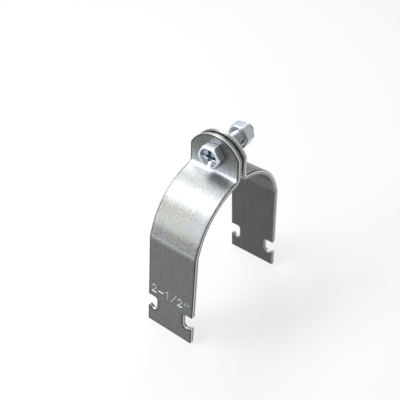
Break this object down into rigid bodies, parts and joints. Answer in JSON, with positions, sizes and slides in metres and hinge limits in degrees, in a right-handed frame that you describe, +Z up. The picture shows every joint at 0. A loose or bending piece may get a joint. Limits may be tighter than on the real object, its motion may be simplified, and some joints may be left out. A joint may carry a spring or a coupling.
{
  "type": "strut pipe clamp",
  "caption": "Strut pipe clamp: bent steel strap halves with hooked, notched feet wrap a pipe and are drawn together at their ears by a hex-head screw and nut.",
  "frame": {"origin": "centre of the footprint, under the pipe's axis, level with the lower edges of the feet", "axes": "+Z up from the strut towards the ears; +Y along the pipe; +X along the screw, from its head towards the nut"},
  "size_m": [0.086, 0.0318, 0.1144],
  "materials": {
    "strap_zinc": "electro-zinc-plated steel sheet, satin with a fine mottled grain",
    "screw_zinc": "electro-zinc-plated steel, bright with a blue tint",
    "nut_zinc": "electro-zinc-plated steel, bright with a blue tint"
  },
  "bodies": {
    "screw_side_strap": {"strap_half_screw_side": "strap_zinc"},
    "screw": {"machine_screw": "screw_zinc"},
    "nut": {"hex_nut": "nut_zinc"},
    "nut_side_strap": {"strap_half_nut_side": "strap_zinc"}
  },
  "joints": [
    {"name": "screw_turn", "type": "hinge", "parent": "screw_side_strap", "child": "screw", "pos_m": [0, 0, 0.10336], "axis": [1, 0, 0], "range_deg": [-1080, 1800]},
    {"name": "nut_travel", "type": "slide", "parent": "screw_side_strap", "child": "nut", "axis": [1, 0, 0], "range_m": [-0.0071, 0.0043]},
    {"name": "strap_closing", "type": "slide", "parent": "screw_side_strap", "child": "nut_side_strap", "axis": [1, 0, 0], "range_m": [-0.0019, 0.006]}
  ],
  "couplings": [
    {"joint": "nut_travel", "follows": "screw_turn", "m_per_rad": -0.00022458}
  ]
}
